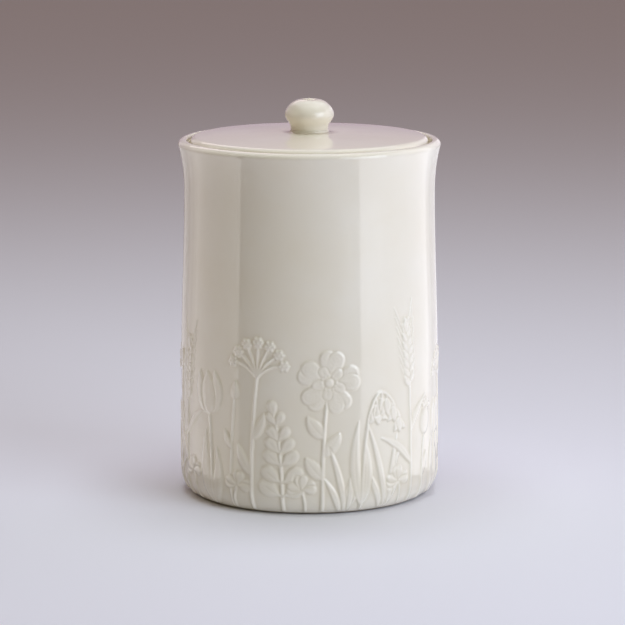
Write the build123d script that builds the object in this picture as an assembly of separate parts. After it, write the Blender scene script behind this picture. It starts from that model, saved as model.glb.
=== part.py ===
"""Glazed stoneware biscuit jar: a slip-cast body with a flared rim, and an inset lid that lifts off.

The jar stands on the XY plane with its axis on Z.  All lengths are millimetres, all angles degrees.

The flare makes room for a gallery, a flat ledge just under the crest of the rim.  The lid lies on
that ledge, inside the rim.  Below the lid a flange reaches down into the neck and carries a ring
seal in a groove.  The knob is cast hollow by itself and stuck to the lid before firing.  A vent
through the lid opens the knob's cavity to the underside, so that it doesn't burst in the kiln.
"""

import os
from math import acos, atan, degrees, radians, sqrt, tan

from build123d import *

# ---------------------------------------------------------------- body: outside
rim_height = 224.6         # table to the crest of the lip
waist_drop = 31.6          # crest of the lip down to the narrowest place
waist_radius = 79.1
rim_flare = 3.4            # how far the lip stands out from the waist
flare_lean = 15.0          # lean of the flare where it runs into the lip
lip_roll = 3.2             # height of the lip's outer rounding
lip_inner_radius = 1.7     # inner rounding of the lip
rim_wall = 5.5             # lip's outermost point to the gallery
belly_swell = 2.4          # how far the straight lower wall stands out from the waist
belly_height = 85.0        # table to where the wall starts to draw in
heel_height = 17.0         # height of the rounded heel
heel_width = 9.9           # how far the heel draws in to the foot ring
foot_width = 5.6
foot_recess = 2.4          # how far the underside is hollowed inside the foot ring
foot_draft = 1.6           # how much the recess narrows towards its top

# ---------------------------------------------------------------- body: inside
wall = 5.2
floor_thickness = 6.2
floor_corner = 11.0        # rounding between the floor and the wall
gallery_depth = 5.3        # crest of the lip to the ledge
gallery_corner = 0.8       # glaze fillet between the rim and the ledge
seat_width = 1.5           # flat of the ledge that the lid rests on
neck_edge = 0.8            # softened edge of the ledge
neck_depth = 14.0          # height of the straight neck under the ledge
neck_taper = 14.0          # height over which the neck widens to the wall

# ---------------------------------------------------------------- lid
lid_clearance = 2.0        # gap between the lid and the rim, all round
lid_heel = 1.2             # rounding of the lower edge
lid_edge = 2.8             # ledge to the start of the upper rounding
lid_shoulder = 4.2         # rounding of the upper edge
lid_dome = 700.0           # radius of the dome's arc
lid_thickness = 5.0
flange_clearance = 3.0     # gap between the flange and the neck, closed by the seal
flange_wall = 4.6
flange_toe = 1.2           # straight stretch of the flange under the groove
flange_roll = 1.8          # height of the flange's rounded foot
flange_root = 5.0          # rounding between the flange and the underside
vent_radius = 4.2          # hole through the lid into the hollow knob

# ---------------------------------------------------------------- knob
knob_neck_radius = 11.9
knob_neck_height = 3.0     # pad to the narrowest place
knob_overhang = 3.55       # how far the widest place stands out from the neck
knob_swell = 8.1           # height from the neck to the widest place
knob_crown = 9.5           # height from the widest place to the top
crown_fullness = 0.48      # 0.55 makes the crown an ellipse, less makes it more pointed
dimple_radius = 5.0        # shallow hollow in the crown
dimple_depth = 0.7
nub_radius = 1.6           # button in the middle of the dimple
nub_height = 1.5           # dimple to the top of that button
collar_stand = 0.35        # how far the bead at the foot stands out from the neck
collar_bead = 1.0          # radius of that bead
collar_turn = 60.0         # how far the bead's arc rises above the level
knob_wall = 4.3
pad_margin = 1.85          # flat of the lid outside the knob's collar

# ---------------------------------------------------------------- seal
groove_drop = 2.6          # ledge to the top of the groove
groove_height = 6.4
groove_depth = 1.3
seal_band = 2.3            # thickness of the seal's band
seal_gap = 0.3             # seal to the neck
fin_count = 2
fin_root = 1.5             # thickness of a fin at the band
fin_tip = 0.7
fin_sweep = 0.8            # how far a fin's tip leans up

# ---------------------------------------------------------------- places that follow from these
rim_radius = waist_radius + rim_flare
belly_radius = waist_radius + belly_swell
foot_radius = belly_radius - heel_width
waist_z = rim_height - waist_drop
floor_z = foot_recess + floor_thickness

ledge_z = rim_height - gallery_depth
gallery_radius = rim_radius - rim_wall
lid_radius = gallery_radius - lid_clearance
neck_radius = lid_radius - lid_heel - seat_width - neck_edge
neck_foot_z = ledge_z - neck_depth

collar_radius = knob_neck_radius + collar_stand
pad_radius = collar_radius + pad_margin
shoulder_radius = lid_radius - lid_shoulder
shoulder_z = ledge_z + lid_edge
dome_reach = shoulder_radius - pad_radius
dome_centre_z = shoulder_z - sqrt((lid_dome - lid_shoulder) ** 2 - dome_reach**2)
pad_z = dome_centre_z + lid_dome

flange_radius = neck_radius - flange_clearance
flange_bore = flange_radius - flange_wall
groove_radius = flange_radius - groove_depth
groove_top_z = ledge_z - groove_drop
groove_foot_z = groove_top_z - groove_height
flange_toe_z = groove_foot_z - flange_toe
seal_radius = neck_radius - seal_gap

knob_radius = knob_neck_radius + knob_overhang
knob_bore = knob_neck_radius - knob_wall
knob_neck_z = pad_z + knob_neck_height
knob_belly_z = knob_neck_z + knob_swell
knob_top_z = knob_belly_z + knob_crown


def turned(lines):
    """Solid made by turning a closed outline round the axis.  Its X is the radius, its Y the height."""
    return revolve(Plane.XZ * make_face(lines), Axis.Z)


def make_jar_body():
    """Pot with a foot ring, a rounded heel, a slight waist, a flared lip and the lid's ledge."""
    # Outside, from the middle of the underside up to the crest of the lip.
    foot_inner = foot_radius - foot_width
    underside = Polyline(
        (0, foot_recess),
        (foot_inner - foot_draft, foot_recess),
        (foot_inner, 0),
        (foot_radius, 0),
    )
    heel = EllipticalCenterArc(
        (foot_radius, heel_height), heel_width, heel_height, start_angle=-90, arc_size=90
    )
    belly = Line(heel @ 1, (belly_radius, belly_height))
    draw_in = Spline(belly @ 1, (waist_radius, waist_z), tangents=[(0, 1), (0, 1)])
    lip_width = rim_wall - lip_inner_radius
    lip_start = degrees(atan(tan(radians(flare_lean)) * lip_roll / lip_width))
    lip_outer = EllipticalCenterArc(
        (rim_radius - lip_width, rim_height - lip_roll),
        lip_width,
        lip_roll,
        start_angle=-lip_start,
        arc_size=90 + lip_start,
    )
    flare = Spline(draw_in @ 1, lip_outer @ 0, tangents=[(0, 1), lip_outer % 0])
    lip_centre = (gallery_radius + lip_inner_radius, rim_height - lip_inner_radius)
    lip_inner = CenterArc(lip_centre, lip_inner_radius, 90, 90)

    # Inside, from the lip down to the middle of the floor.
    gallery = FilletPolyline(
        lip_inner @ 1,
        (gallery_radius, ledge_z),
        (neck_radius, ledge_z),
        (neck_radius, neck_foot_z),
        radius=[gallery_corner, neck_edge],
    )
    waist_bore = waist_radius - wall
    belly_bore = belly_radius - wall
    corner_z = floor_z + floor_corner
    throat = Spline(gallery @ 1, (waist_bore, neck_foot_z - neck_taper), tangents=[(0, -1), (0, -1)])
    bore = Spline(throat @ 1, (belly_bore, belly_height), tangents=[(0, -1), (0, -1)])
    lower_bore = Line(bore @ 1, (belly_bore, corner_z))
    corner = CenterArc((belly_bore - floor_corner, corner_z), floor_corner, 0, -90)
    floor = Polyline(corner @ 1, (0, floor_z), (0, foot_recess))

    outside = [underside, heel, belly, draw_in, flare, lip_outer, lip_inner]
    return turned(outside + [gallery, throat, bore, lower_bore, corner, floor])


def dome_drop(radius):
    """How far the top of the lid lies under the pad at a distance from the axis."""
    return lid_dome - sqrt(lid_dome**2 - (radius - pad_radius) ** 2)


def make_lid():
    """Shallow dome with a flat pad for the knob, a seat face, and a flange with the seal's groove."""
    # The shoulder's arc touches the dome's arc from inside and ends upright at the lid's edge.
    lean = degrees(acos(dome_reach / (lid_dome - lid_shoulder)))
    pad = Line((vent_radius, pad_z), (pad_radius, pad_z))
    dome = CenterArc((pad_radius, dome_centre_z), lid_dome, 90, lean - 90)
    shoulder = CenterArc((shoulder_radius, shoulder_z), lid_shoulder, lean, -lean)
    seat = FilletPolyline(
        shoulder @ 1,
        (lid_radius, ledge_z),
        (flange_radius, ledge_z),
        (flange_radius, groove_top_z),
        (groove_radius, groove_top_z),
        (groove_radius, groove_foot_z),
        (flange_radius, groove_foot_z),
        (flange_radius, flange_toe_z),
        radius=[lid_heel, 0, 0, 0, 0, 0],
    )
    toe = EllipticalCenterArc(
        (flange_radius - flange_wall / 2, flange_toe_z),
        flange_wall / 2,
        flange_roll,
        start_angle=0,
        arc_size=-180,
    )

    # The underside follows the dome's fall from the pad to the flange.
    underside = FilletPolyline(
        toe @ 1,
        (flange_bore, pad_z - lid_thickness - dome_drop(flange_bore)),
        (pad_radius, pad_z - lid_thickness),
        (vent_radius, pad_z - lid_thickness),
        radius=[flange_root, 0],
    )
    vent = Line(underside @ 1, pad @ 0)
    return turned([pad, dome, shoulder, seat, toe, underside, vent])


def make_lid_knob():
    """Hollow mushroom with a bead at its foot and a dimple with a button in its crown."""
    bead_centre = (collar_radius - collar_bead, pad_z + collar_bead)
    foot = Line((knob_bore, pad_z), (collar_radius - collar_bead, pad_z))
    bead = CenterArc(bead_centre, collar_bead, -90, 90 + collar_turn)
    side = Spline(
        bead @ 1,
        (knob_neck_radius, knob_neck_z),
        (knob_radius, knob_belly_z),
        tangents=[bead % 1, (0, 1)],
    )
    crown_width = knob_radius - dimple_radius
    crown = Bezier(
        side @ 1,
        (knob_radius, knob_belly_z + crown_fullness * knob_crown),
        (dimple_radius + crown_fullness * crown_width, knob_top_z),
        (dimple_radius, knob_top_z),
    )
    dimple_z = knob_top_z - dimple_depth
    dimple = Spline(crown @ 1, (nub_radius, dimple_z), tangents=[(-1, 0), (-1, 0)])
    nub_top = (0, dimple_z + nub_height)
    nub = TangentArc(nub_top, dimple @ 1, tangent=(1, 0))

    # Cavity, from its top down to the foot.
    hollow_z = dimple_z - knob_wall
    hollow_round = hollow_z - knob_belly_z
    hollow_flat = knob_radius - knob_wall - hollow_round
    hollow_top = Polyline(nub_top, (0, hollow_z), (hollow_flat, hollow_z))
    hollow_corner = CenterArc((hollow_flat, knob_belly_z), hollow_round, 90, -90)
    hollow_side = Spline(hollow_corner @ 1, (knob_bore, knob_neck_z), tangents=[(0, -1), (0, -1)])
    hollow_neck = Line(hollow_side @ 1, foot @ 0)

    outside = [foot, bead, side, crown, dimple, nub]
    return turned(outside + [hollow_top, hollow_corner, hollow_side, hollow_neck])


def make_lid_seal():
    """Ring with a flat band that fills the groove, and thin fins that lean up as they bear on the neck."""
    band_radius = groove_radius + seal_band
    pitch = groove_height / fin_count
    points = [(groove_radius, groove_foot_z), (band_radius, groove_foot_z)]
    for i in range(fin_count):
        root_z = groove_foot_z + (i + 0.5) * pitch
        tip_z = root_z + fin_sweep
        points += [
            (band_radius, root_z - fin_root / 2),
            (seal_radius, tip_z - fin_tip / 2),
            (seal_radius, tip_z + fin_tip / 2),
            (band_radius, root_z + fin_root / 2),
        ]
    points += [(band_radius, groove_top_z), (groove_radius, groove_top_z)]
    return turned(Polyline(*points, close=True))


PIECES = {
    "jar_body": make_jar_body,
    "lid": make_lid,
    "lid_knob": make_lid_knob,
    "lid_seal": make_lid_seal,
}

if __name__ == "__main__":
    os.makedirs("parts", exist_ok=True)
    for name, make in PIECES.items():
        export_step(make(), f"parts/{name}.step")
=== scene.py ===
"""Looks of a glazed stoneware biscuit jar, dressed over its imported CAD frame.

Sizes of the jar are written in millimetres, as a potter would give them, and become metres only where
a mesh is made.  The front of the jar faces -Y.  The relief round its lower half is a height field over
the unrolled wall: x runs round the jar, y runs up.
"""

import math

import bpy
import numpy as np
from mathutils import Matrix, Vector


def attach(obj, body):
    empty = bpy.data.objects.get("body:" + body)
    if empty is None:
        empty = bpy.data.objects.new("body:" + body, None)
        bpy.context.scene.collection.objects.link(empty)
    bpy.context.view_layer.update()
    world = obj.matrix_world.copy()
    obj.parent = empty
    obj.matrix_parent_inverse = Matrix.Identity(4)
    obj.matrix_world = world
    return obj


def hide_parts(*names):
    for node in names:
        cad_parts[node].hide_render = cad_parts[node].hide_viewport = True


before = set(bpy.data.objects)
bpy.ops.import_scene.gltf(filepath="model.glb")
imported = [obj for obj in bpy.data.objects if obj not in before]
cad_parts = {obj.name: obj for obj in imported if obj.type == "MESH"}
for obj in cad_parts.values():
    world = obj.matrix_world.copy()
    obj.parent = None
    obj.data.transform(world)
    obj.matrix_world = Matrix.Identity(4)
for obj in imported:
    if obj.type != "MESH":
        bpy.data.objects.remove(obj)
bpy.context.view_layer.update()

MM = 0.001

# ---------------------------------------------------------------- jar body, as in its solid
rim_height = 224.6          # table to the crest of the lip
waist_drop = 31.6           # crest of the lip down to the narrowest place
waist_radius = 79.1
rim_flare = 3.4             # how far the lip stands out from the waist
flare_lean = 15.0           # lean of the flare where it runs into the lip
lip_roll = 3.2              # height of the lip's outer rounding
lip_inner_radius = 1.7      # inner rounding of the lip
rim_wall = 5.5              # lip's outermost point to the gallery
belly_swell = 2.4           # how far the straight lower wall stands out from the waist
belly_height = 85.0         # table to where the wall starts to draw in
heel_height = 17.0          # height of the rounded heel
heel_width = 9.9            # how far the heel draws in to the foot ring
foot_width = 5.6
foot_recess = 2.4           # how far the underside is hollowed inside the foot ring
foot_draft = 1.6            # how much the recess narrows towards its top
wall = 5.2
floor_thickness = 6.2
floor_corner = 11.0         # rounding between the floor and the wall
gallery_depth = 5.3         # crest of the lip to the ledge
gallery_corner = 0.8        # glaze fillet between the rim and the ledge
seat_width = 1.5            # flat of the ledge that the lid rests on
neck_edge = 0.8             # softened edge of the ledge
neck_depth = 14.0           # height of the straight neck under the ledge
neck_taper = 14.0           # height over which the neck widens to the wall

# ---------------------------------------------------------------- lid, as in its solid
lid_clearance = 2.0         # gap between the lid and the rim, all round
lid_heel = 1.2              # rounding of the lower edge
lid_edge = 2.8              # ledge to the start of the upper rounding
lid_shoulder = 4.2          # rounding of the upper edge
lid_dome = 700.0            # radius of the dome's arc
lid_thickness = 5.0
flange_clearance = 3.0      # gap between the flange and the neck, closed by the seal
flange_wall = 4.6
flange_toe = 1.2            # straight stretch of the flange under the groove
flange_roll = 1.8           # height of the flange's rounded foot
flange_root = 5.0           # rounding between the flange and the underside
vent_radius = 4.2           # hole through the lid into the hollow knob

# ---------------------------------------------------------------- knob, as in its solid
knob_neck_radius = 11.9
knob_neck_height = 3.0      # pad to the narrowest place
knob_overhang = 3.55        # how far the widest place stands out from the neck
knob_swell = 8.1            # height from the neck to the widest place
knob_crown = 9.5            # height from the widest place to the top
crown_fullness = 0.48       # 0.55 makes the crown an ellipse, less makes it more pointed
dimple_radius = 5.0         # shallow hollow in the crown
dimple_depth = 0.7
nub_radius = 1.6            # button in the middle of the dimple
nub_height = 1.5            # dimple to the top of that button
collar_stand = 0.35         # how far the bead at the foot stands out from the neck
collar_bead = 1.0           # radius of that bead
collar_turn = 60.0          # how far the bead's arc rises above the level
knob_wall = 4.3
pad_margin = 1.85           # flat of the lid outside the knob's collar

# ---------------------------------------------------------------- seal, as in its solid
groove_drop = 2.6           # ledge to the top of the groove
groove_height = 6.4
groove_depth = 1.3
seal_band = 2.3             # thickness of the seal's band
seal_gap = 0.3              # seal to the neck
fin_count = 2
fin_root = 1.5              # thickness of a fin at the band
fin_tip = 0.7
fin_sweep = 0.8             # how far a fin's tip leans up

# ---------------------------------------------------------------- places that follow from these
rim_radius = waist_radius + rim_flare
belly_radius = waist_radius + belly_swell
foot_radius = belly_radius - heel_width
foot_inner = foot_radius - foot_width
waist_z = rim_height - waist_drop
floor_z = foot_recess + floor_thickness

ledge_z = rim_height - gallery_depth
gallery_radius = rim_radius - rim_wall
lid_radius = gallery_radius - lid_clearance
neck_radius = lid_radius - lid_heel - seat_width - neck_edge
neck_foot_z = ledge_z - neck_depth

collar_radius = knob_neck_radius + collar_stand
pad_radius = collar_radius + pad_margin
shoulder_radius = lid_radius - lid_shoulder
shoulder_z = ledge_z + lid_edge
dome_reach = shoulder_radius - pad_radius
dome_centre_z = shoulder_z - math.sqrt((lid_dome - lid_shoulder) ** 2 - dome_reach**2)
pad_z = dome_centre_z + lid_dome

flange_radius = neck_radius - flange_clearance
flange_bore = flange_radius - flange_wall
groove_radius = flange_radius - groove_depth
groove_top_z = ledge_z - groove_drop
groove_foot_z = groove_top_z - groove_height
flange_toe_z = groove_foot_z - flange_toe
seal_radius = neck_radius - seal_gap

knob_radius = knob_neck_radius + knob_overhang
knob_bore = knob_neck_radius - knob_wall
knob_neck_z = pad_z + knob_neck_height
knob_belly_z = knob_neck_z + knob_swell
knob_top_z = knob_belly_z + knob_crown

# ================================================================ relief
# The field holds how far the relief stands out from the wall.  Its columns run round the jar from
# the front, its rows run up from the table.

relief_columns = 1024
relief_step = 2 * math.pi * belly_radius / relief_columns
relief_top = 133.0          # just over the tips of the tallest plant
half_turn = math.pi * belly_radius
field = np.zeros((int(relief_top / relief_step) + 2, relief_columns))

moat = 0.55                 # width of the groove that a form cuts round itself into those behind it
fullness = 0.62             # 0.5 makes the forms half round, 1 makes them pointed
dish_spread = 1.6           # over 1, a dished form is level some way out from its middle
vein_width = 0.5
vein_start = 0.8            # half width of a form from which its vein shows
vein_full = 2.0             # half width from which the vein is whole
rib_pitch = 2.4
rib_slant = 0.9
rib_fade = 3.0              # how quickly the ribs come in from a form's edge
glaze_blur = 0.36           # how much the glaze softens the relief


def smooth(x):
    """Runs from 0 to 1 as x does, and starts and ends level."""
    x = np.clip(x, 0, 1)
    return x * x * (3 - 2 * x)


def heading(angle):
    """Unit vector at an angle from straight up, positive to the right."""
    return np.array([math.sin(math.radians(angle)), math.cos(math.radians(angle))])


def lean_of(path):
    """Angle from straight up of a path's last stretch."""
    return math.degrees(math.atan2(*(path[-1] - path[-4])))


def curve(*controls, count=18):
    """Points on the Bezier curve with these control points."""
    t = np.linspace(0, 1, count)[:, None]
    points = [np.array(p, float) for p in controls]
    while len(points) > 1:
        points = [(1 - t) * a + t * b for a, b in zip(points, points[1:])]
    return points[0]


def block_round(path, reach):
    """The part of the field within reach of a path: its index, and where its points lie."""
    low = np.floor((path.min(0) - reach) / relief_step).astype(int)
    high = np.ceil((path.max(0) + reach) / relief_step).astype(int)
    columns = np.arange(low[0], high[0] + 1)
    rows = np.arange(max(low[1], 0), min(high[1], len(field) - 1) + 1)
    places = np.stack(np.meshgrid(columns * relief_step, rows * relief_step), -1)
    return np.ix_(rows, columns % relief_columns), places


def nearest(path, widths, rises, places):
    """How each place lies to a form along a path: its share, away, along, width and rise.

    share is 0 on the path and 1 on the form's edge, and grows by millimetres outside it.  away is the
    distance from the path, and along is how far along it the nearest point is, as a share.  width and
    rise are the form's half width and its height there.
    """
    share = np.full(places.shape[:2], np.inf)
    away, along, width, rise = (np.zeros_like(share) for _ in range(4))
    runs = len(path) - 1
    for i in range(runs):
        run = path[i + 1] - path[i]
        t = np.clip(((places - path[i]) @ run) / max(run @ run, 1e-9), 0, 1)
        off = np.linalg.norm(places - path[i] - t[..., None] * run, axis=-1)
        wide = widths[i] + t * (widths[i + 1] - widths[i])
        high = rises[i] + t * (rises[i + 1] - rises[i])
        here = np.where(off < wide, off / wide, 1 + off - wide)
        nearer = here < share
        found = (here, off, (i + t) / runs, wide, high)
        for kept, new in zip((share, away, along, width, rise), found):
            kept[nearer] = new[nearer]
    return share, away, along, width, rise


def press(path, widths, rises, vein=0.0, hollow=0.0, ribs=0.0, cut=True):
    """Raises a rounded form along a path over what is there.

    widths and rises are its half width and its height along the path.  vein, hollow and ribs are the
    shares of the height that a middle line, a dished middle and slanted ribs take away.  cut says
    whether the form cuts a moat round itself.
    """
    path = np.asarray(path, float)
    widths = np.broadcast_to(widths, len(path))
    rises = np.broadcast_to(rises, len(path))
    block, places = block_round(path, widths.max() + 2 * moat)
    share, away, along, width, rise = nearest(path, widths, rises, places)

    depth = np.clip(1 - share, 0, 1)
    form = (1 - (1 - depth) ** 2) ** fullness
    form *= 1 - hollow * smooth(depth * dish_spread)
    veined = smooth((width - vein_start) / (vein_full - vein_start)) * (depth > 0)
    form -= vein * np.exp(-((away / vein_width) ** 2)) * veined
    length = np.linalg.norm(np.diff(path, axis=0), axis=1).sum()
    wave = 0.5 + 0.5 * np.cos(2 * math.pi * (along * length - rib_slant * away) / rib_pitch)
    form -= ribs * wave * smooth(depth * rib_fade) * smooth(away)

    under = field[block] * smooth((share - 1) / moat) if cut else field[block]
    field[block] = np.maximum(under, rise * np.clip(form, 0, None))


def stem(path, half=1.05, rise=0.85):
    """Round stem that thins towards its top.  half is its half width."""
    press(path, half * np.linspace(1.15, 0.8, len(path)), rise, cut=False)


def leaf(base, angle, length, width, bend=0.0, rise=1.0, vein=0.32, ribs=0.1):
    """Pointed leaf that grows from base at an angle, and turns by `bend` degrees on its way."""
    base = np.asarray(base, float)
    middle = base + heading(angle) * length / 2
    path = curve(base, middle, middle + heading(angle + bend) * length / 2)
    u = np.linspace(0, 1, len(path))
    widths = 0.25 + width / 2 * np.sin(math.pi * u**0.8) ** 0.85
    press(path, widths, rise * (0.75 + 0.25 * np.sin(math.pi * u)), vein=vein, ribs=ribs)


def petal(base, angle, length, width, bend=0.0, rise=1.0, vein=0.0, hollow=0.25, ribs=0.0, cut=True):
    """Blunt petal, widest near its end."""
    base = np.asarray(base, float)
    middle = base + heading(angle) * length / 2
    path = curve(base, middle, middle + heading(angle + bend) * (length / 2 - width / 4))
    u = np.linspace(0, 1, len(path))
    widths = 0.5 + (width / 2 - 0.5) * smooth(u * 1.15)
    press(path, widths, rise * (0.7 + 0.3 * u), vein=vein, hollow=hollow, ribs=ribs, cut=cut)


def bead(at, radius, rise=0.9, cut=True):
    """Round bead: a form along a path too short to see."""
    press([at, at + heading(0) * 1e-3], radius, rise, cut=cut)


def rising(s, height, lean, foot=1.0):
    """Path of a stem that starts at s and leans by `lean` at its top."""
    return curve((s, foot), (s - 0.15 * lean, foot + 0.55 * (height - foot)), (s + lean, height), count=24)


# ---------------------------------------------------------------- the plants
# Each grows at the place s round the wall, to a height, with its top `lean` to the right of its foot.
# Lengths and widths are millimetres on the wall, angles are degrees from straight up.


def grain(root, angle, length, width, bend=0.0):
    leaf(root, angle, length, width, bend, rise=1.15, vein=0.25, ribs=0)


def wheat(s, height, lean):
    path = rising(s, height, lean)
    leaf(path[5], lean - 28, length=34, width=5.0, bend=-38, rise=0.8)
    leaf(path[9], lean + 24, length=30, width=4.6, bend=40, rise=0.8)
    stem(path)
    pairs, pitch = 7, 5.6
    tilt = lean_of(path)
    grains = [
        (path[-1] - heading(tilt) * pitch * (pairs - 1 - i - 0.25 * side), side, 1 - 0.05 * i)
        for i in range(pairs)
        for side in (-1, 1)
    ]
    # The awns come first, so that the grains lie over them.
    for at, side, size in grains:
        root = at + heading(tilt + 90 * side) * 2.2
        tip = root + heading(tilt + 19 * side) * (27 - 12 * size)
        press(curve(root, (root + tip) / 2, tip, count=6), np.linspace(0.55, 0.3, 6), 0.5, cut=False)
    for at, side, size in grains:
        root = at + heading(tilt + 90 * side) * 0.6
        grain(root, tilt + 27 * side, length=9.5 * size, width=5.0 * size, bend=-18 * side)
    grain(path[-1] - heading(tilt), tilt, length=9.0, width=4.6)


def tulip(s, height, lean, size=1.0):
    path = rising(s, height, lean)
    leaf(path[0] + (-1, 0), -20, length=50 * size, width=9.0 * size, bend=30, rise=0.95)
    leaf(path[0] + (1, 0), 22, length=40 * size, width=8.0 * size, bend=-34, rise=0.95)
    stem(path, 1.25)
    tilt = lean_of(path)
    for side in (-1, 1):
        leaf(path[-1], tilt + 44 * side, 31 * size, 11 * size, bend=-58 * side, vein=0, ribs=0.07)
    leaf(path[-1], tilt, length=26 * size, width=13 * size, rise=1.25, vein=0.22, ribs=0.08)


def rose(s, height, lean):
    """Double rose: five outer petals, each with a notch, round five inner ones and a button."""
    path = rising(s, height, lean)
    for share, side in ((0.25, -1), (0.42, 1), (0.58, -1)):
        leaf(path[int(share * len(path))], 50 * side, length=17, width=8.5, bend=-24 * side, rise=0.95)
    stem(path)
    centre = path[-1]
    for k in range(5):
        turn = 72 * k + 8
        root = centre + heading(turn) * 2.5
        for side in (-1, 1):
            petal(root, turn + 12 * side, length=15.0, width=10.5, hollow=0.3, ribs=0.12)
        petal(root, turn, length=12.5, width=9.0, rise=0.8, hollow=0.3, vein=0.3, cut=False)
    for k in range(5):
        petal(centre, 72 * k + 44, length=9.5, width=6.4, hollow=0.35, vein=0.25)
    bead(centre, 3.0, 1.2)
    for k in range(12):
        bead(centre + heading(30 * k) * 4.6, 0.75, 1.1, cut=False)


def floret(at, size):
    """Six small beads round a larger one."""
    for k in range(6):
        bead(at + heading(60 * k + 30) * 2.35 * size, 1.25 * size, 0.95, cut=False)
    bead(at, 1.5 * size, 1.1, cut=False)


def umbel(s, height, lean, size=1.0):
    """Flat head of seven florets on rays that fan out from the top of the stem."""
    ray = 22
    path = rising(s, height - ray * size, lean)
    leaf(path[6], -40, length=22, width=6.5, bend=26, rise=0.85)
    leaf(path[12], 38, length=19, width=6.0, bend=-26, rise=0.85)
    stem(path)
    top = path[-1]
    ends = []
    for k in range(-3, 4):
        angle = 21 * k + lean / 2
        ends.append(top + heading(angle) * (ray - 0.5 * abs(k) ** 1.6) * size)
        stem(curve(top, top + heading(0.6 * angle) * 12 * size, ends[-1], count=10), 0.7, 0.65)
    for end in ends:
        floret(end, size)


def coin_sprig(s, height, lean):
    """Sprig with pairs of round leaves that get smaller towards its tip."""
    path = rising(s, height, lean)
    stem(path)
    pairs = 6
    for k in range(pairs):
        at = path[int((0.2 + 0.72 * k / (pairs - 1)) * (len(path) - 1))]
        size = 1 - 0.09 * k
        for side in (-1, 1):
            angle = (66 - 6 * k) * side
            petal(at, angle, 14.5 * size, 10.5 * size, bend=-14 * side, hollow=0.12, vein=0.3)
    petal(path[-1], lean_of(path), length=9, width=6.5, hollow=0.12, vein=0.3)


def bluebell(s, height, lean):
    """Spray of bells that hang from a stem bent over to the side of its lean."""
    side = 1 if lean > 0 else -1
    path = curve((s, 1), (s + 0.1 * lean, height * 1.5), (s + lean, height * 0.86), count=40)
    leaf(path[1] + (-1, 0), -14, length=54, width=6.5, bend=26, rise=0.9)
    leaf(path[1] + (1, 0), 15, length=42, width=6.0, bend=-28, rise=0.9)
    stem(path, 1.0)
    for k, share in enumerate((0.56, 0.68, 0.79, 0.9, 1.0)):
        at = path[int(share * (len(path) - 1))]
        root = at + (1.2 * side, -4.2)
        stem(curve(at, at + (2.0 * side, -0.5), root, count=6), 0.6, 0.7)
        hang, size = 180 - 8 * side, 1 - 0.07 * k
        for lobe in (-1, 1):
            leaf(root, hang + 12 * lobe, 13 * size, 5.6 * size, 42 * lobe, rise=0.95, vein=0, ribs=0)
        leaf(root, hang, length=12 * size, width=6.2 * size, rise=1.2, vein=0.2, ribs=0)


def grass(s, height, spread=1.0):
    """Tuft of five blades.  spread scales how far they fan out."""
    blades = ((-16, 0.6, -30), (12, 0.75, 26), (-6, 1.0, -20), (20, 0.48, 30), (3, 0.86, 14))
    for k, (angle, share, bend) in enumerate(blades):
        base = (s + 1.3 * (k - 2), 1.0)
        angle, bend = angle * spread, bend * spread
        leaf(base, angle, length=height * share, width=3.8, bend=bend, rise=0.85, vein=0.3, ribs=0)


def clover(s, height, lean):
    """Three leaves, each of two petals side by side."""
    path = curve((s, 1), (s - 0.3 * lean, height * 0.6), (s + lean, height), count=10)
    stem(path, 0.8, 0.7)
    for k in (-1, 1, 0):
        for side in (-1, 1):
            angle = lean * 2 + 80 * k + 13 * side
            petal(path[-1], angle, length=8.0, width=5.8, rise=0.95, hollow=0.15)


def poppy(s, height, lean):
    """Seed head with a ribbed cup and a scalloped cap."""
    path = rising(s, height, lean)
    leaf(path[8], 30, length=16, width=5, bend=-20, rise=0.85)
    stem(path, 0.9)
    tilt = lean_of(path)
    top, up, across = path[-1], heading(tilt), heading(tilt + 90)
    cup = 1.6 + 4.4 * np.sin(0.72 * math.pi * np.linspace(0, 1, 12) ** 0.62)
    press(curve(top, top + up * 5, top + up * 10, count=12), cup, 1.1)
    for k in (-1, 0, 1):
        rib = curve(top + up, top + up * 7 + across * 5.5 * k, top + up * 14, count=9)
        press(rib, 0.4, 1.22, cut=False)
    for k in range(-2, 3):
        petal(top + up * 14.5, tilt + 34 * k, length=5.0, width=3.4, rise=1.15, hollow=0)


def bud(s, height, lean):
    path = rising(s, height, lean)
    stem(path, 0.8, 0.75)
    side = 1 if lean < 0 else -1
    leaf(path[12], 34 * side, length=13, width=4.4, bend=-20 * side, rise=0.8)
    tilt = lean_of(path)
    for turn in (-1, 1):
        leaf(path[-1], tilt + 24 * turn, 9.5, 4.2, bend=-46 * turn, rise=0.95, vein=0, ribs=0)
    leaf(path[-1], tilt, length=10.5, width=4.6, rise=1.15, vein=0.15, ribs=0)


# What grows where: the plant, its place round the wall from the front, its height, and then its lean
# and its size, or the spread of a tuft of grass.  Later plants grow in front.
MEADOW = [
    (grass, -119, 66),
    (bud, -112, 84, 3),
    (wheat, -98, 98, 4),
    (clover, -86, 20, -3),
    (tulip, -68, 60, -2),
    (bud, -52, 72, 3),
    (clover, -50, 17, 3),
    (umbel, -37, 108, 4),
    (coin_sprig, -17, 62, -5),
    (clover, -3, 17, -2),
    (rose, 8, 84, 4),
    (grass, 22, 44, 0.8),
    (grass, 50, 56, 0.8),
    (bluebell, 33, 72, 26),
    (wheat, 72, 112, -5),
    (clover, 62, 18, -2),
    (poppy, 84, 46, 3),
    (tulip, 103, 42, 3, 0.8),
    (umbel, 122, 92, -6, 0.85),
]


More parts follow.
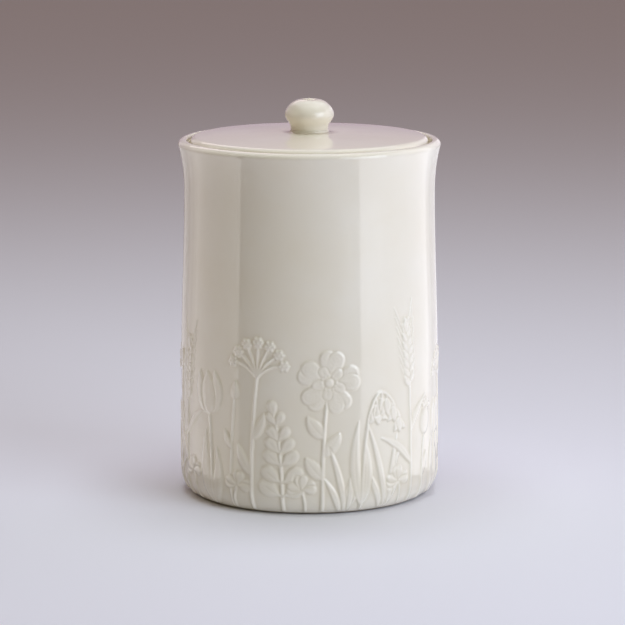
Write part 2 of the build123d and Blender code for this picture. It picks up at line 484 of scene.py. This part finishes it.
def blurred(values, spread):
    """Gaussian blur, in millimetres, that wraps round the jar."""
    reach = int(3 * spread / relief_step + 1)
    weights = np.exp(-((np.arange(-reach, reach + 1) * relief_step) ** 2) / (2 * spread**2))
    weights /= weights.sum()
    round_jar = sum(w * np.roll(values, i - reach, axis=1) for i, w in enumerate(weights))
    padded = np.pad(round_jar, ((reach, reach), (0, 0)), mode="edge")
    return sum(w * padded[i : i + len(values)] for i, w in enumerate(weights))


def planted():
    """The meadow, twice round the jar, as the glaze leaves it."""
    for turn in (0, half_turn):
        for plant, s, *rest in MEADOW:
            plant(s + turn, *rest)
    return blurred(field, glaze_blur)


# ================================================================ outlines
# An outline is an array of (radius, height) points with the material on its left.

UP, DOWN, INWARDS = (0, 1), (0, -1), (-1, 0)
speck = 1e-4                # a length that counts as nothing
full_hollow = 1.2           # radians of turn, near a point, that make a full hollow


def straight(start, end, pitch=2.0):
    """Evenly spaced points from start to end."""
    count = max(1, round(math.dist(start, end) / pitch))
    return np.linspace(start, end, count + 1)


def arc(centre, radii, first, last, pitch=0.5):
    """Stretch of an ellipse between two angles in degrees, counted from outwards to upwards."""
    first, last = math.radians(first), math.radians(last)
    count = max(4, round(abs(last - first) * max(radii) / pitch))
    angles = np.linspace(first, last, count + 1)
    return np.stack([centre[0] + radii[0] * np.cos(angles), centre[1] + radii[1] * np.sin(angles)], 1)


def round_arc(centre, radius, first, last, pitch=0.5):
    """Stretch of a circle between two angles."""
    return arc(centre, (radius, radius), first, last, pitch)


def bow(start, start_way, end, end_way, pitch=2.0):
    """Smooth stretch that leaves start along start_way and reaches end along end_way."""
    reach = math.dist(start, end) / 3
    leave = np.add(start, np.multiply(start_way, reach))
    arrive = np.subtract(end, np.multiply(end_way, reach))
    return curve(start, leave, arrive, end, count=max(4, round(3 * reach / pitch)) + 1)


def way_between(start, end):
    """Unit vector from one point to another."""
    gap = np.subtract(end, start)
    return gap / np.linalg.norm(gap)


def corner(before, at, after, radius, pitch=0.35):
    """Rounding of the corner at a point between two others."""
    back, on = way_between(at, before), way_between(at, after)
    half = math.acos(float(np.clip(back @ on, -1, 1))) / 2
    middle = at + way_between((0, 0), back + on) * radius / math.sin(half)
    first, last = (at + way * radius / math.tan(half) - middle for way in (back, on))
    turn = math.pi - 2 * half
    t = np.linspace(0, 1, max(3, round(turn * radius / pitch)) + 1)[:, None]
    return middle + (first * np.sin((1 - t) * turn) + last * np.sin(t * turn)) / math.sin(turn)


def rounded(points, radii, pitch=2.0):
    """Polyline with its inner corners rounded."""
    bends = [corner(*points[i : i + 3], radius) for i, radius in enumerate(radii)]
    ends = [points[:1]] + bends + [points[-1:]]
    runs = [straight(a[-1], b[0], pitch) for a, b in zip(ends, ends[1:])]
    return joined(*(part for pair in zip(runs, bends) for part in pair), runs[-1])


def joined(*runs):
    """The runs one after another, without repeated points."""
    points = np.concatenate([np.asarray(run, float) for run in runs])
    moves = np.linalg.norm(np.diff(points, axis=0), axis=1) > speck
    return points[np.concatenate([[True], moves])]


def hollows(outline, reach=1.6):
    """How deep each point of an outline lies in a hollow of it: 0 on flats and bulges, up to 1."""
    ways = np.diff(outline, axis=0)
    angles = np.unwrap(np.arctan2(ways[:, 1], ways[:, 0]))
    turns = np.clip(np.concatenate([[0], -np.diff(angles), [0]]), 0, None)
    along = np.concatenate([[0], np.cumsum(np.linalg.norm(ways, axis=1))])
    near = np.exp(-(((along[:, None] - along) / reach) ** 2))
    return np.clip(near @ turns / full_hollow, 0, 1)


# ================================================================ meshes

ring_pitch = 1.1            # distance between the points of a mesh's rings, at most
inner_ring_pitch = 2.2      # same inside the jar
knob_ring_pitch = 0.5


class Turned:
    """Mesh made by turning an outline round the axis.

    counts says how many points each ring has.  An outline that ends where it starts closes on
    itself, and any other one starts and ends on the axis, with rings of one point.
    """

    def __init__(self, outline, counts):
        lengths = np.linalg.norm(np.diff(outline, axis=0), axis=1)
        self.along = np.concatenate([[0], np.cumsum(lengths)]) / lengths.sum()
        closed = math.dist(outline[0], outline[-1]) < speck
        self.outline = outline[:-1] if closed else outline
        self.counts = np.where(self.outline[:, 0] < speck, 1, counts[: len(self.outline)])
        self.starts = np.concatenate([[0], np.cumsum(self.counts)])
        turns = np.concatenate([np.arange(count) / count for count in self.counts])
        angles = 2 * math.pi * turns - math.pi / 2
        self.outwards = np.stack([np.cos(angles), np.sin(angles)], 1)
        self.radii, self.heights = np.repeat(self.outline, self.counts, axis=0).T

    def spread(self, values):
        """One value per ring, given to each of its points."""
        return np.repeat(values, self.counts)

    def edge(self, ring, cells):
        """For each cell on a ring, its points and how far round they lie, as shares of a turn."""
        count = self.counts[ring]
        if count == 1:
            return np.full((cells, 1), self.starts[ring]), (np.arange(cells)[:, None] + 0.5) / cells
        steps = np.arange(cells)[:, None] * (count // cells) + np.arange(count // cells + 1)
        return self.starts[ring] + steps % count, steps / count

    def band(self, i):
        """Faces between ring i and the next, and where their corners lie on the unrolled map."""
        here, there = i, (i + 1) % len(self.counts)
        pair = self.counts[here], self.counts[there]
        cells = min(pair) if min(pair) > 1 else max(pair)
        near, near_u = self.edge(here, cells)
        far, far_u = self.edge(there, cells)
        u = np.hstack([near_u, far_u[:, ::-1]])
        v = np.hstack([np.full(near.shape, self.along[i]), np.full(far.shape, self.along[i + 1])])
        return np.hstack([near, far[:, ::-1]]), np.stack([u, v], -1)

    def piece(self, name, **shares):
        """The Blender object.  shares are named values per point for its materials."""
        points = np.column_stack([self.outwards * self.radii[:, None], self.heights]) * MM
        bands = [self.band(i) for i in range(len(self.along) - 1)]
        mesh = bpy.data.meshes.new(name)
        mesh.from_pydata(points.tolist(), [], [face for faces, _ in bands for face in faces.tolist()])
        chart = np.concatenate([places.reshape(-1, 2) for _, places in bands])
        mesh.uv_layers.new(name="OFBake").data.foreach_set("uv", chart.astype(np.float32).ravel())
        mesh.shade_smooth()
        for share, values in shares.items():
            layer = mesh.attributes.new(share, "FLOAT", "POINT")
            layer.data.foreach_set("value", values.astype(np.float32))
        piece = bpy.data.objects.new(name, mesh)
        bpy.context.scene.collection.objects.link(piece)
        return piece


def ring_counts(outline, pitch):
    """Points per ring: a power of two that keeps them within the pitch, at least 32."""
    turns = 2 * math.pi * outline[:, 0] / pitch
    return 2 ** np.ceil(np.log2(np.clip(turns, 32, None))).astype(int)


# ================================================================ the four pieces
# What the glaze adds to the solids' outlines, and where it gathers, thins and is left off.
# Some of the colour is painted: shade in the knob's hollows and along the bare foot, light low on the
# heel.

foot_ring_edge = 0.8        # softened edges that the solids leave sharp
recess_corner = 1.5
groove_edge = 0.35
seal_edge = 0.3
foot_glaze = 1.5            # how far the glaze runs out where the knob is stuck to the lid
nub_root = 1.1              # same round the button in the knob's dimple

relief_foot = 1.0           # the relief starts at this height over the table
relief_fade = 3.0           # height over which it comes up to its full rise
most_gain = 1.35            # rise of its crests where the wall draws in
crispness = 1.3             # how much steeper the relief's edges are than its crowns
pool_blur = 1.5
pool_depth = 0.55           # glaze depth that shows its full colour
foot_light_height = 20.0          # under this height the heel is painted paler towards the foot: painted light
bare_height = 1.4           # unglazed foot ring and flange toe

crown_darkening = 0.9         # deeper colour on the knob's flat crown, strongest at the axis
crown_darkening_reach = 9.0         # how far from the axis it does so
knob_reach = 1.0            # how far the colour spreads from the knob's hollows
knob_pooling = 0.35         # pooled glaze and painted shade in the knob's hollows, weaker than on the jar


def jar_outside():
    """The jar's outline from the middle of its underside up to the crest of its lip."""
    underside = rounded(
        [(0, foot_recess), (foot_inner - foot_draft, foot_recess), (foot_inner, 0), (foot_radius, 0)],
        (recess_corner, foot_ring_edge),
    )
    heel = arc((foot_radius, heel_height), (heel_width, heel_height), -90, 0)
    belly = straight(heel[-1], (belly_radius, belly_height), relief_step)
    draw_in = bow(belly[-1], UP, (waist_radius, waist_z), UP, relief_step)
    # Above the relief, every fourth ring is enough.
    pressed = draw_in[:, 1] < relief_top
    draw_in = np.concatenate([draw_in[pressed], draw_in[~pressed][::4], draw_in[-1:]])

    lip_width = rim_wall - lip_inner_radius
    lip_start = math.degrees(math.atan(math.tan(math.radians(flare_lean)) * lip_roll / lip_width))
    lip_centre = (rim_radius - lip_width, rim_height - lip_roll)
    lip = arc(lip_centre, (lip_width, lip_roll), -lip_start, 90, pitch=0.35)
    flare = bow(draw_in[-1], UP, lip[0], heading(flare_lean), pitch=1.0)
    return joined(underside, heel, belly, draw_in, flare, lip)


def jar_inside():
    """The jar's outline from the crest of its lip down to the middle of its floor."""
    lip_centre = (gallery_radius + lip_inner_radius, rim_height - lip_inner_radius)
    lip = round_arc(lip_centre, lip_inner_radius, 90, 180, pitch=0.35)
    gallery = rounded(
        [lip[-1], (gallery_radius, ledge_z), (neck_radius, ledge_z), (neck_radius, neck_foot_z)],
        (gallery_corner, neck_edge),
    )
    waist_bore = (waist_radius - wall, neck_foot_z - neck_taper)
    belly_bore = (belly_radius - wall, belly_height)
    throat = bow(gallery[-1], DOWN, waist_bore, DOWN, pitch=1.0)
    bore = bow(throat[-1], DOWN, belly_bore, DOWN, pitch=4.0)
    bend_centre = (belly_radius - wall - floor_corner, floor_z + floor_corner)
    bend = round_arc(bend_centre, floor_corner, 0, -90, pitch=1.0)
    floor = straight(bend[-1], (0, floor_z), pitch=4.0)
    return joined(lip, gallery, throat, bore, bend, floor)


def relief_on(outline, pressed):
    """The planted relief as high as there is room for within the rim, row by row."""
    radii, heights = outline[pressed].T
    relief = planted()
    rows = np.arange(len(relief)) * relief_step
    room = np.minimum(most_gain, rim_radius - np.interp(rows, heights, radii))
    return room[:, None] * (1 - np.exp(-crispness * relief / relief.max())) / (1 - math.exp(-crispness))


def emboss(jar, pressed, pool):
    """Presses the relief out of some of the jar's rings; writes how its glaze lies, and painted light on
    the heel.
    """
    relief = relief_on(jar.outline, pressed)
    pools = np.clip((blurred(relief, pool_blur) - relief) / pool_depth, -1, 1)
    ways = np.gradient(jar.outline, axis=0)
    ways /= np.linalg.norm(ways, axis=1)[:, None]
    for ring in np.flatnonzero(pressed):
        points = slice(jar.starts[ring], jar.starts[ring + 1])
        height = jar.outline[ring, 1]
        below, part = int(height / relief_step), height / relief_step % 1
        rise = relief[below] * (1 - part) + relief[below + 1] * part
        rise = rise * smooth((height - relief_foot) / relief_fade)
        jar.radii[points] += rise * ways[ring, 1]
        jar.heights[points] -= rise * ways[ring, 0]
        # Low on the heel the values are pushed towards the pale colour: painted light, for light bounced
        # up from the floor.
        pool[points] = pools[below] - smooth((foot_light_height - height) / foot_light_height)


def jar_body():
    outline = joined(jar_outside(), jar_inside())
    radii, heights = outline.T
    outside = np.arange(len(outline)) < heights.argmax()
    pressed = outside & (radii > foot_radius) & (heights < relief_top)
    counts = ring_counts(outline, np.where(outside, ring_pitch, inner_ring_pitch))
    jar = Turned(outline, np.where(pressed, relief_columns, counts))
    pool = jar.spread(hollows(outline))
    emboss(jar, pressed, pool)
    bare = jar.spread(outside & (heights < bare_height) & (radii > foot_inner - foot_draft))
    return jar.piece("jar_body_glazed", pool=pool, bare=bare)


def dome_drop(radius):
    """How far the top of the lid lies under the pad at a distance from the axis."""
    return lid_dome - math.sqrt(lid_dome**2 - (radius - pad_radius) ** 2)


def lid_outline():
    """Round the lid: along its underside, out over the flange and the seat, and back over the dome."""
    under_z = pad_z - lid_thickness
    underside = rounded(
        [
            (vent_radius, under_z),
            (pad_radius, under_z),
            (flange_bore, under_z - dome_drop(flange_bore)),
            (flange_bore, flange_toe_z),
        ],
        (0, flange_root),
    )
    toe_centre = (flange_radius - flange_wall / 2, flange_toe_z)
    toe = arc(toe_centre, (flange_wall / 2, flange_roll), 180, 360, pitch=0.4)
    seat = rounded(
        [
            (flange_radius, flange_toe_z),
            (flange_radius, groove_foot_z),
            (groove_radius, groove_foot_z),
            (groove_radius, groove_top_z),
            (flange_radius, groove_top_z),
            (flange_radius, ledge_z),
            (lid_radius, ledge_z),
            (lid_radius, shoulder_z),
        ],
        (groove_edge,) * 5 + (lid_heel,),
        pitch=1.0,
    )
    lean = math.degrees(math.acos(dome_reach / (lid_dome - lid_shoulder)))
    shoulder = round_arc((shoulder_radius, shoulder_z), lid_shoulder, 0, lean, pitch=0.4)
    dome = round_arc((pad_radius, dome_centre_z), lid_dome, lean, 90, pitch=2.0)
    vent = [(vent_radius, pad_z), (vent_radius, under_z)]
    return joined(underside, toe, seat, shoulder, dome, vent)


def lid():
    outline = lid_outline()
    turned = Turned(outline, ring_counts(outline, ring_pitch))
    pool = turned.spread(hollows(outline)[: len(turned.outline)])
    bare = turned.spread(turned.outline[:, 1] < flange_toe_z - bare_height / 2)
    return turned.piece("lid_glazed", pool=pool, bare=bare)


def knob_cavity():
    """From the top of the hollow knob's cavity down to its foot."""
    hollow_z = knob_top_z - dimple_depth - knob_wall
    hollow_round = hollow_z - knob_belly_z
    hollow_flat = knob_radius - knob_wall - hollow_round
    ceiling = straight((0, hollow_z), (hollow_flat, hollow_z))
    bend = round_arc((hollow_flat, knob_belly_z), hollow_round, 90, 0)
    side = bow(bend[-1], DOWN, (knob_bore, knob_neck_z), DOWN, pitch=1.0)
    return joined(ceiling, bend, side)


def knob_outside():
    """From the knob's foot, out over the run of glaze on the lid, and up to the top of the button."""
    bead_z = pad_z + collar_bead
    foot = straight((knob_bore, pad_z), (collar_radius + foot_glaze, pad_z))
    glazed_foot = bow(foot[-1], (-1, 0.1), (collar_radius, bead_z), UP, pitch=0.15)
    collar = round_arc((collar_radius - collar_bead, bead_z), collar_bead, 0, collar_turn, pitch=0.2)
    neck = bow(collar[-1], heading(collar_turn - 90), (knob_neck_radius, knob_neck_z), UP, pitch=0.3)
    swell = bow(neck[-1], UP, (knob_radius, knob_belly_z), UP, pitch=0.4)
    crown = curve(
        swell[-1],
        (knob_radius, knob_belly_z + crown_fullness * knob_crown),
        (dimple_radius + crown_fullness * (knob_radius - dimple_radius), knob_top_z),
        (dimple_radius, knob_top_z),
        count=40,
    )
    dimple_z = knob_top_z - dimple_depth
    dimple = bow(crown[-1], INWARDS, (nub_radius + nub_root, dimple_z), INWARDS, pitch=0.3)
    nub = bow(dimple[-1], INWARDS, (0, dimple_z + nub_height), INWARDS, pitch=0.3)
    return joined(foot, glazed_foot, collar, neck, swell, crown, dimple, nub)


def lid_knob():
    outline = joined(knob_cavity(), knob_outside())
    radii, heights = outline.T
    turned = Turned(outline, ring_counts(outline, knob_ring_pitch))
    crown_darker = crown_darkening * np.exp(-((radii / crown_darkening_reach) ** 2)) * (heights > knob_belly_z)
    # In the knob's hollows the deep colour is partly pooled glaze and partly painted shade.
    pool = knob_pooling * hollows(outline, knob_reach) + crown_darker
    bare = np.zeros_like(radii)
    return turned.piece("lid_knob_glazed", pool=turned.spread(pool), bare=turned.spread(bare))


def seal_outline():
    """Round the seal: down its root in the groove, and up over its fins."""
    band_radius = groove_radius + seal_band
    middle = (groove_radius, (groove_foot_z + groove_top_z) / 2)
    points = [middle, (groove_radius, groove_foot_z), (band_radius, groove_foot_z)]
    for i in range(fin_count):
        root_z = groove_foot_z + (i + 0.5) * groove_height / fin_count
        tip_z = root_z + fin_sweep
        points += [
            (band_radius, root_z - fin_root / 2),
            (seal_radius, tip_z - fin_tip / 2),
            (seal_radius, tip_z + fin_tip / 2),
            (band_radius, root_z + fin_root / 2),
        ]
    points += [(band_radius, groove_top_z), (groove_radius, groove_top_z), middle]
    return rounded(points, (seal_edge,) * (len(points) - 2), pitch=0.6)


def lid_seal():
    outline = seal_outline()
    turned = Turned(outline, ring_counts(outline, ring_pitch))
    return turned.piece("lid_seal_silicone")


# ================================================================ materials


class Nodes:
    """A node tree, with short ways to add to it."""

    def __init__(self, tree):
        self.tree = tree

    def add(self, kind, inputs=(), **settings):
        """New node of a kind, with its settings, and values or links for its inputs."""
        made = self.tree.nodes.new("ShaderNode" + kind)
        for name, value in settings.items():
            setattr(made, name, value)
        for name, value in dict(inputs).items():
            self.fill(made.inputs[name], value)
        return made

    def fill(self, socket, value):
        """Gives a socket a value, or a link from another socket."""
        if isinstance(value, bpy.types.NodeSocket):
            self.tree.links.new(value, socket)
        else:
            socket.default_value = value

    def ramp(self, value, low, high, start=0.3, end=0.7, **settings):
        """Value from start to end, made to run from low to high."""
        inputs = {"Value": value, "From Min": start, "From Max": end, "To Min": low, "To Max": high}
        return self.add("MapRange", inputs, **settings).outputs["Result"]

    # A Mix node's sockets have the same names for colours as for numbers, so they go by their places.
    def mix(self, factor, a, b):
        """Mix of two colours."""
        return self.add("Mix", {0: factor, 6: a, 7: b}, data_type="RGBA").outputs[2]

    def blend(self, factor, a, b):
        """Mix of two numbers."""
        return self.add("Mix", {0: factor, 2: a, 3: b}, data_type="FLOAT").outputs[0]


class Shader(Nodes):
    """The node tree of a new material."""

    def __init__(self, name):
        self.material = bpy.data.materials.new(name)
        self.material.use_nodes = True
        super().__init__(self.material.node_tree)
        self.surface = self.tree.nodes["Principled BSDF"]
        self.place = self.add("TexCoord").outputs["Object"]

    def set(self, **inputs):
        """Fills inputs of the surface, named with _ for each space."""
        for name, value in inputs.items():
            self.fill(self.surface.inputs[name.replace("_", " ")], value)

    def noise(self, size, detail=2.0, roughness=0.5):
        """Noise from about 0.3 to 0.7, whose lumps are about `size` millimetres across."""
        inputs = {"Vector": self.place, "Scale": 1 / (size * MM), "Detail": detail, "Roughness": roughness}
        return self.add("TexNoise", inputs).outputs["Fac"]

    def share(self, name):
        """Named value that the mesh carries at each point."""
        return self.add("Attribute", attribute_name=name).outputs["Fac"]

    def bump(self, height, depth, under=None):
        """Normals that follow a height from 0 to 1, `depth` millimetres deep."""
        inputs = {"Height": height, "Distance": depth * MM, "Strength": 1.0}
        if under is not None:
            inputs["Normal"] = under
        return self.add("Bump", inputs).outputs["Normal"]


ivory_cool = (0.832, 0.777, 0.665, 1)
ivory_warm = (0.817, 0.751, 0.622, 1)
# Pooled glaze, and painted shade in the knob's hollows.
ivory_pooled_and_shaded = (0.700, 0.625, 0.455, 1)
# Thin glaze on the crests, and painted light low on the heel.
ivory_thin_and_lit = (0.915, 0.872, 0.785, 1)
# Bare clay, darkened so that the foot's edge shows as a dark line: its own colour and painted shade.
clay_shaded_pale = (0.400, 0.330, 0.250, 1)
clay_shaded_dark = (0.270, 0.215, 0.155, 1)
silicone_pale = (0.780, 0.785, 0.770, 1)
silicone_dull = (0.700, 0.705, 0.690, 1)
floor_paint = (0.825, 0.83, 0.885, 1)

cloud_size = 38             # drifts of cooler and warmer glaze
most_deep_and_shaded = 0.6             # share of the deep colour in hollows: pooled glaze, and painted shade on the knob
most_thin_and_lit = 0.8             # share of the pale colour where the glaze is thinnest, and low on the heel, painted light
glaze_roughness = (0.05, 0.11)
sheen_size = 22             # patches of more and less gloss
wave_size = 16              # slow waves in the glaze
wave_depth = 0.05
peel_size = 1.8             # fine dimples in it
peel_depth = 0.004
clay_roughness = 0.85
grit_size = 0.7             # grains of the bare clay
grit_depth = 0.08
silicone_roughness = (0.38, 0.5)
dust_size = 9               # duller drifts on the silicone
scuff_size = 5              # patches where it is rougher
skin_size = 0.35            # texture of its mould
skin_depth = 0.01


def glaze():
    """Glossy ivory glaze over bare clay: warmer where it pools, paler where it thins, with painted shade
    and light.
    """
    shader = Shader("ivory_glaze")
    pool, bare = shader.share("pool"), shader.share("bare")
    cloud = shader.ramp(shader.noise(cloud_size, detail=3), 0, 1)
    colour = shader.mix(cloud, ivory_cool, ivory_warm)
    # Deep colour: pooled glaze, and painted shade in the knob's hollows. Pale colour: thin glaze, and
    # painted light on the heel.
    colour = shader.mix(shader.ramp(pool, 0, most_deep_and_shaded, 0, 1), colour, ivory_pooled_and_shaded)
    colour = shader.mix(shader.ramp(pool, most_thin_and_lit, 0, -1, 0), colour, ivory_thin_and_lit)
    grit = shader.noise(grit_size, detail=4, roughness=0.7)
    # Bare clay, partly painted shade along the foot's edge.
    clay = shader.mix(shader.ramp(grit, 0, 1), clay_shaded_pale, clay_shaded_dark)
    sheen = shader.ramp(shader.noise(sheen_size, detail=4, roughness=0.6), *glaze_roughness)
    waves = shader.bump(shader.noise(wave_size), wave_depth)
    dimples = shader.bump(shader.noise(peel_size), peel_depth, waves)
    shader.set(
        Base_Color=shader.mix(bare, colour, clay),
        Roughness=shader.blend(bare, sheen, clay_roughness),
        Normal=shader.bump(shader.blend(bare, 0.5, grit), grit_depth, dimples),
        IOR=1.52,
    )
    return shader.material


def silicone():
    """Milky silicone with a fine moulded matt skin and a little dust-dulled colour."""
    shader = Shader("milky_silicone")
    dust = shader.ramp(shader.noise(dust_size, detail=3), 0, 1)
    shader.set(
        Base_Color=shader.mix(dust, silicone_pale, silicone_dull),
        Roughness=shader.ramp(shader.noise(scuff_size, detail=3), *silicone_roughness),
        Normal=shader.bump(shader.noise(skin_size), skin_depth),
        IOR=1.41,
        Subsurface_Weight=0.25,
        Subsurface_Scale=0.002,
    )
    return shader.material


def painted_floor():
    """Matt paint without any gloss, so that the floor mirrors none of the lights."""
    shader = Shader("pale_floor")
    shader.set(Base_Color=floor_paint, Roughness=0.9, Specular_IOR_Level=0.0)
    return shader.material


# ================================================================ the scene
# The floor, the lights and the camera are placed in metres.

floor_reach = 6.0
room_front = (0.16, 0.13, 0.035, 1)
room_behind = (0.41, 0.30, 0.39, 1)
room_turn = (-0.2, 0.5)     # where the room's colour changes, from -1 in front to 1 behind
camera_place = (0.00196, -1.9, 0.4568)
camera_tilt = 79.75         # degrees from straight down
focal_length = 175.09
film_width = 36


def dress(piece, node, body, material):
    """Puts a piece in the place of a CAD node."""
    piece.data.materials.append(material)
    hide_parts(node)
    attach(piece, body)


def lay_floor():
    corners = [(x * floor_reach, y * floor_reach, 0) for x, y in ((-1, -1), (1, -1), (1, 1), (-1, 1))]
    mesh = bpy.data.meshes.new("floor")
    mesh.from_pydata(corners, [], [(0, 1, 2, 3)])
    mesh.materials.append(painted_floor())
    floor = bpy.data.objects.new("floor", mesh)
    bpy.context.scene.collection.objects.link(floor)


def light_panel(name, at, facing, size, radiance, colour, soft=True, mirrored=True):
    """Softbox of a given brightness, which the camera doesn't see.

    soft says whether it lights the surfaces, mirrored whether its image shows in the glaze.
    """
    lamp = bpy.data.lights.new(name, "AREA")
    lamp.shape = "RECTANGLE"
    lamp.size, lamp.size_y = size
    lamp.energy = radiance * math.pi * lamp.size * lamp.size_y
    lamp.color = colour
    panel = bpy.data.objects.new(name, lamp)
    panel.location = at
    panel.rotation_euler = (Vector(facing) - Vector(at)).to_track_quat("-Z", "Y").to_euler()
    panel.visible_camera = False
    panel.visible_diffuse = soft
    panel.visible_glossy = mirrored
    bpy.context.scene.collection.objects.link(panel)


def upright_cards(name, x, edges, radiances, colour, height=0.32):
    """Cards that stand on the floor beside the jar, front to back, and only mirror in its glaze."""
    for i, radiance in enumerate(radiances):
        near, far = edges[i : i + 2]
        middle = (near + far) / 2
        light_panel(
            f"{name}_{i}", (x, middle, height / 2), facing=(0, middle, height / 2),
            size=(far - near, height), radiance=radiance, colour=colour, soft=False,
        )


def light_room():
    """A plain room, mauve behind the jar and dim and warm in front of it."""
    world = bpy.data.worlds.new("room")
    world.use_nodes = True
    nodes = Nodes(world.node_tree)
    way = nodes.add("TexCoord").outputs["Generated"]
    backwards = nodes.add("SeparateXYZ", {"Vector": way}).outputs["Y"]
    turn = nodes.ramp(backwards, 0, 1, *room_turn, interpolation_type="SMOOTHSTEP")
    background = nodes.tree.nodes["Background"]
    nodes.fill(background.inputs["Color"], nodes.mix(turn, room_front, room_behind))
    bpy.context.scene.world = world


def set_lights():
    """Soft light from a cool window on the right and from above, and what mirrors in the glaze."""
    light_panel(
        "key", (1.12, -0.95, 0.57), facing=(0, 0, 0.12), size=(1.1, 1.1),
        radiance=3.25, colour=(0.91, 1.01, 1.20),
    )
    light_panel(
        "overhead", (0, 0.05, 1.5), facing=(0, 0, 0), size=(0.8, 0.8),
        radiance=5.3, colour=(0.92, 1.0, 1.07), mirrored=False,
    )
    light_panel(
        "ceiling_glint", (0, 0.3, 1.3), facing=(0, 0, 0), size=(1.4, 1.4),
        radiance=1.0, colour=(0.93, 1.0, 1.10), soft=False,
    )
    light_panel(
        "rim_glint", (-0.5, 1.5, 1.2), facing=(0, 0, 0.22), size=(0.9, 0.5),
        radiance=1.3, colour=(1.1, 0.95, 1.0), soft=False,
    )
    upright_cards(
        "window_glint", x=0.14, edges=(-0.177, 0.032, 0.055, 0.45),
        radiances=(1.95, 1.0, 0.55), colour=(1.0, 1.0, 1.05),
    )
    upright_cards(
        "left_glint", x=-0.14, edges=(-0.112, 0.010, 0.024, 0.05, 0.2),
        radiances=(1.45, 1.1, 0.72, 0.4), colour=(1.05, 1.0, 0.95),
    )
    light_room()


def set_camera():
    """Camera at the height and distance from which the rim and the foot show the right ovals."""
    lens = bpy.data.cameras.new("camera")
    lens.sensor_width = film_width
    lens.lens = focal_length
    camera = bpy.data.objects.new("camera", lens)
    camera.location = camera_place
    camera.rotation_euler = (math.radians(camera_tilt), 0, 0)
    bpy.context.scene.collection.objects.link(camera)
    bpy.context.scene.camera = camera
    bpy.context.scene.view_settings.view_transform = "Standard"


glaze_material = glaze()
dress(jar_body(), "jar_body", "jar", glaze_material)
dress(lid(), "lid", "lid", glaze_material)
dress(lid_knob(), "lid_knob", "lid", glaze_material)
dress(lid_seal(), "lid_seal", "lid", silicone())
lay_floor()
set_lights()
set_camera()
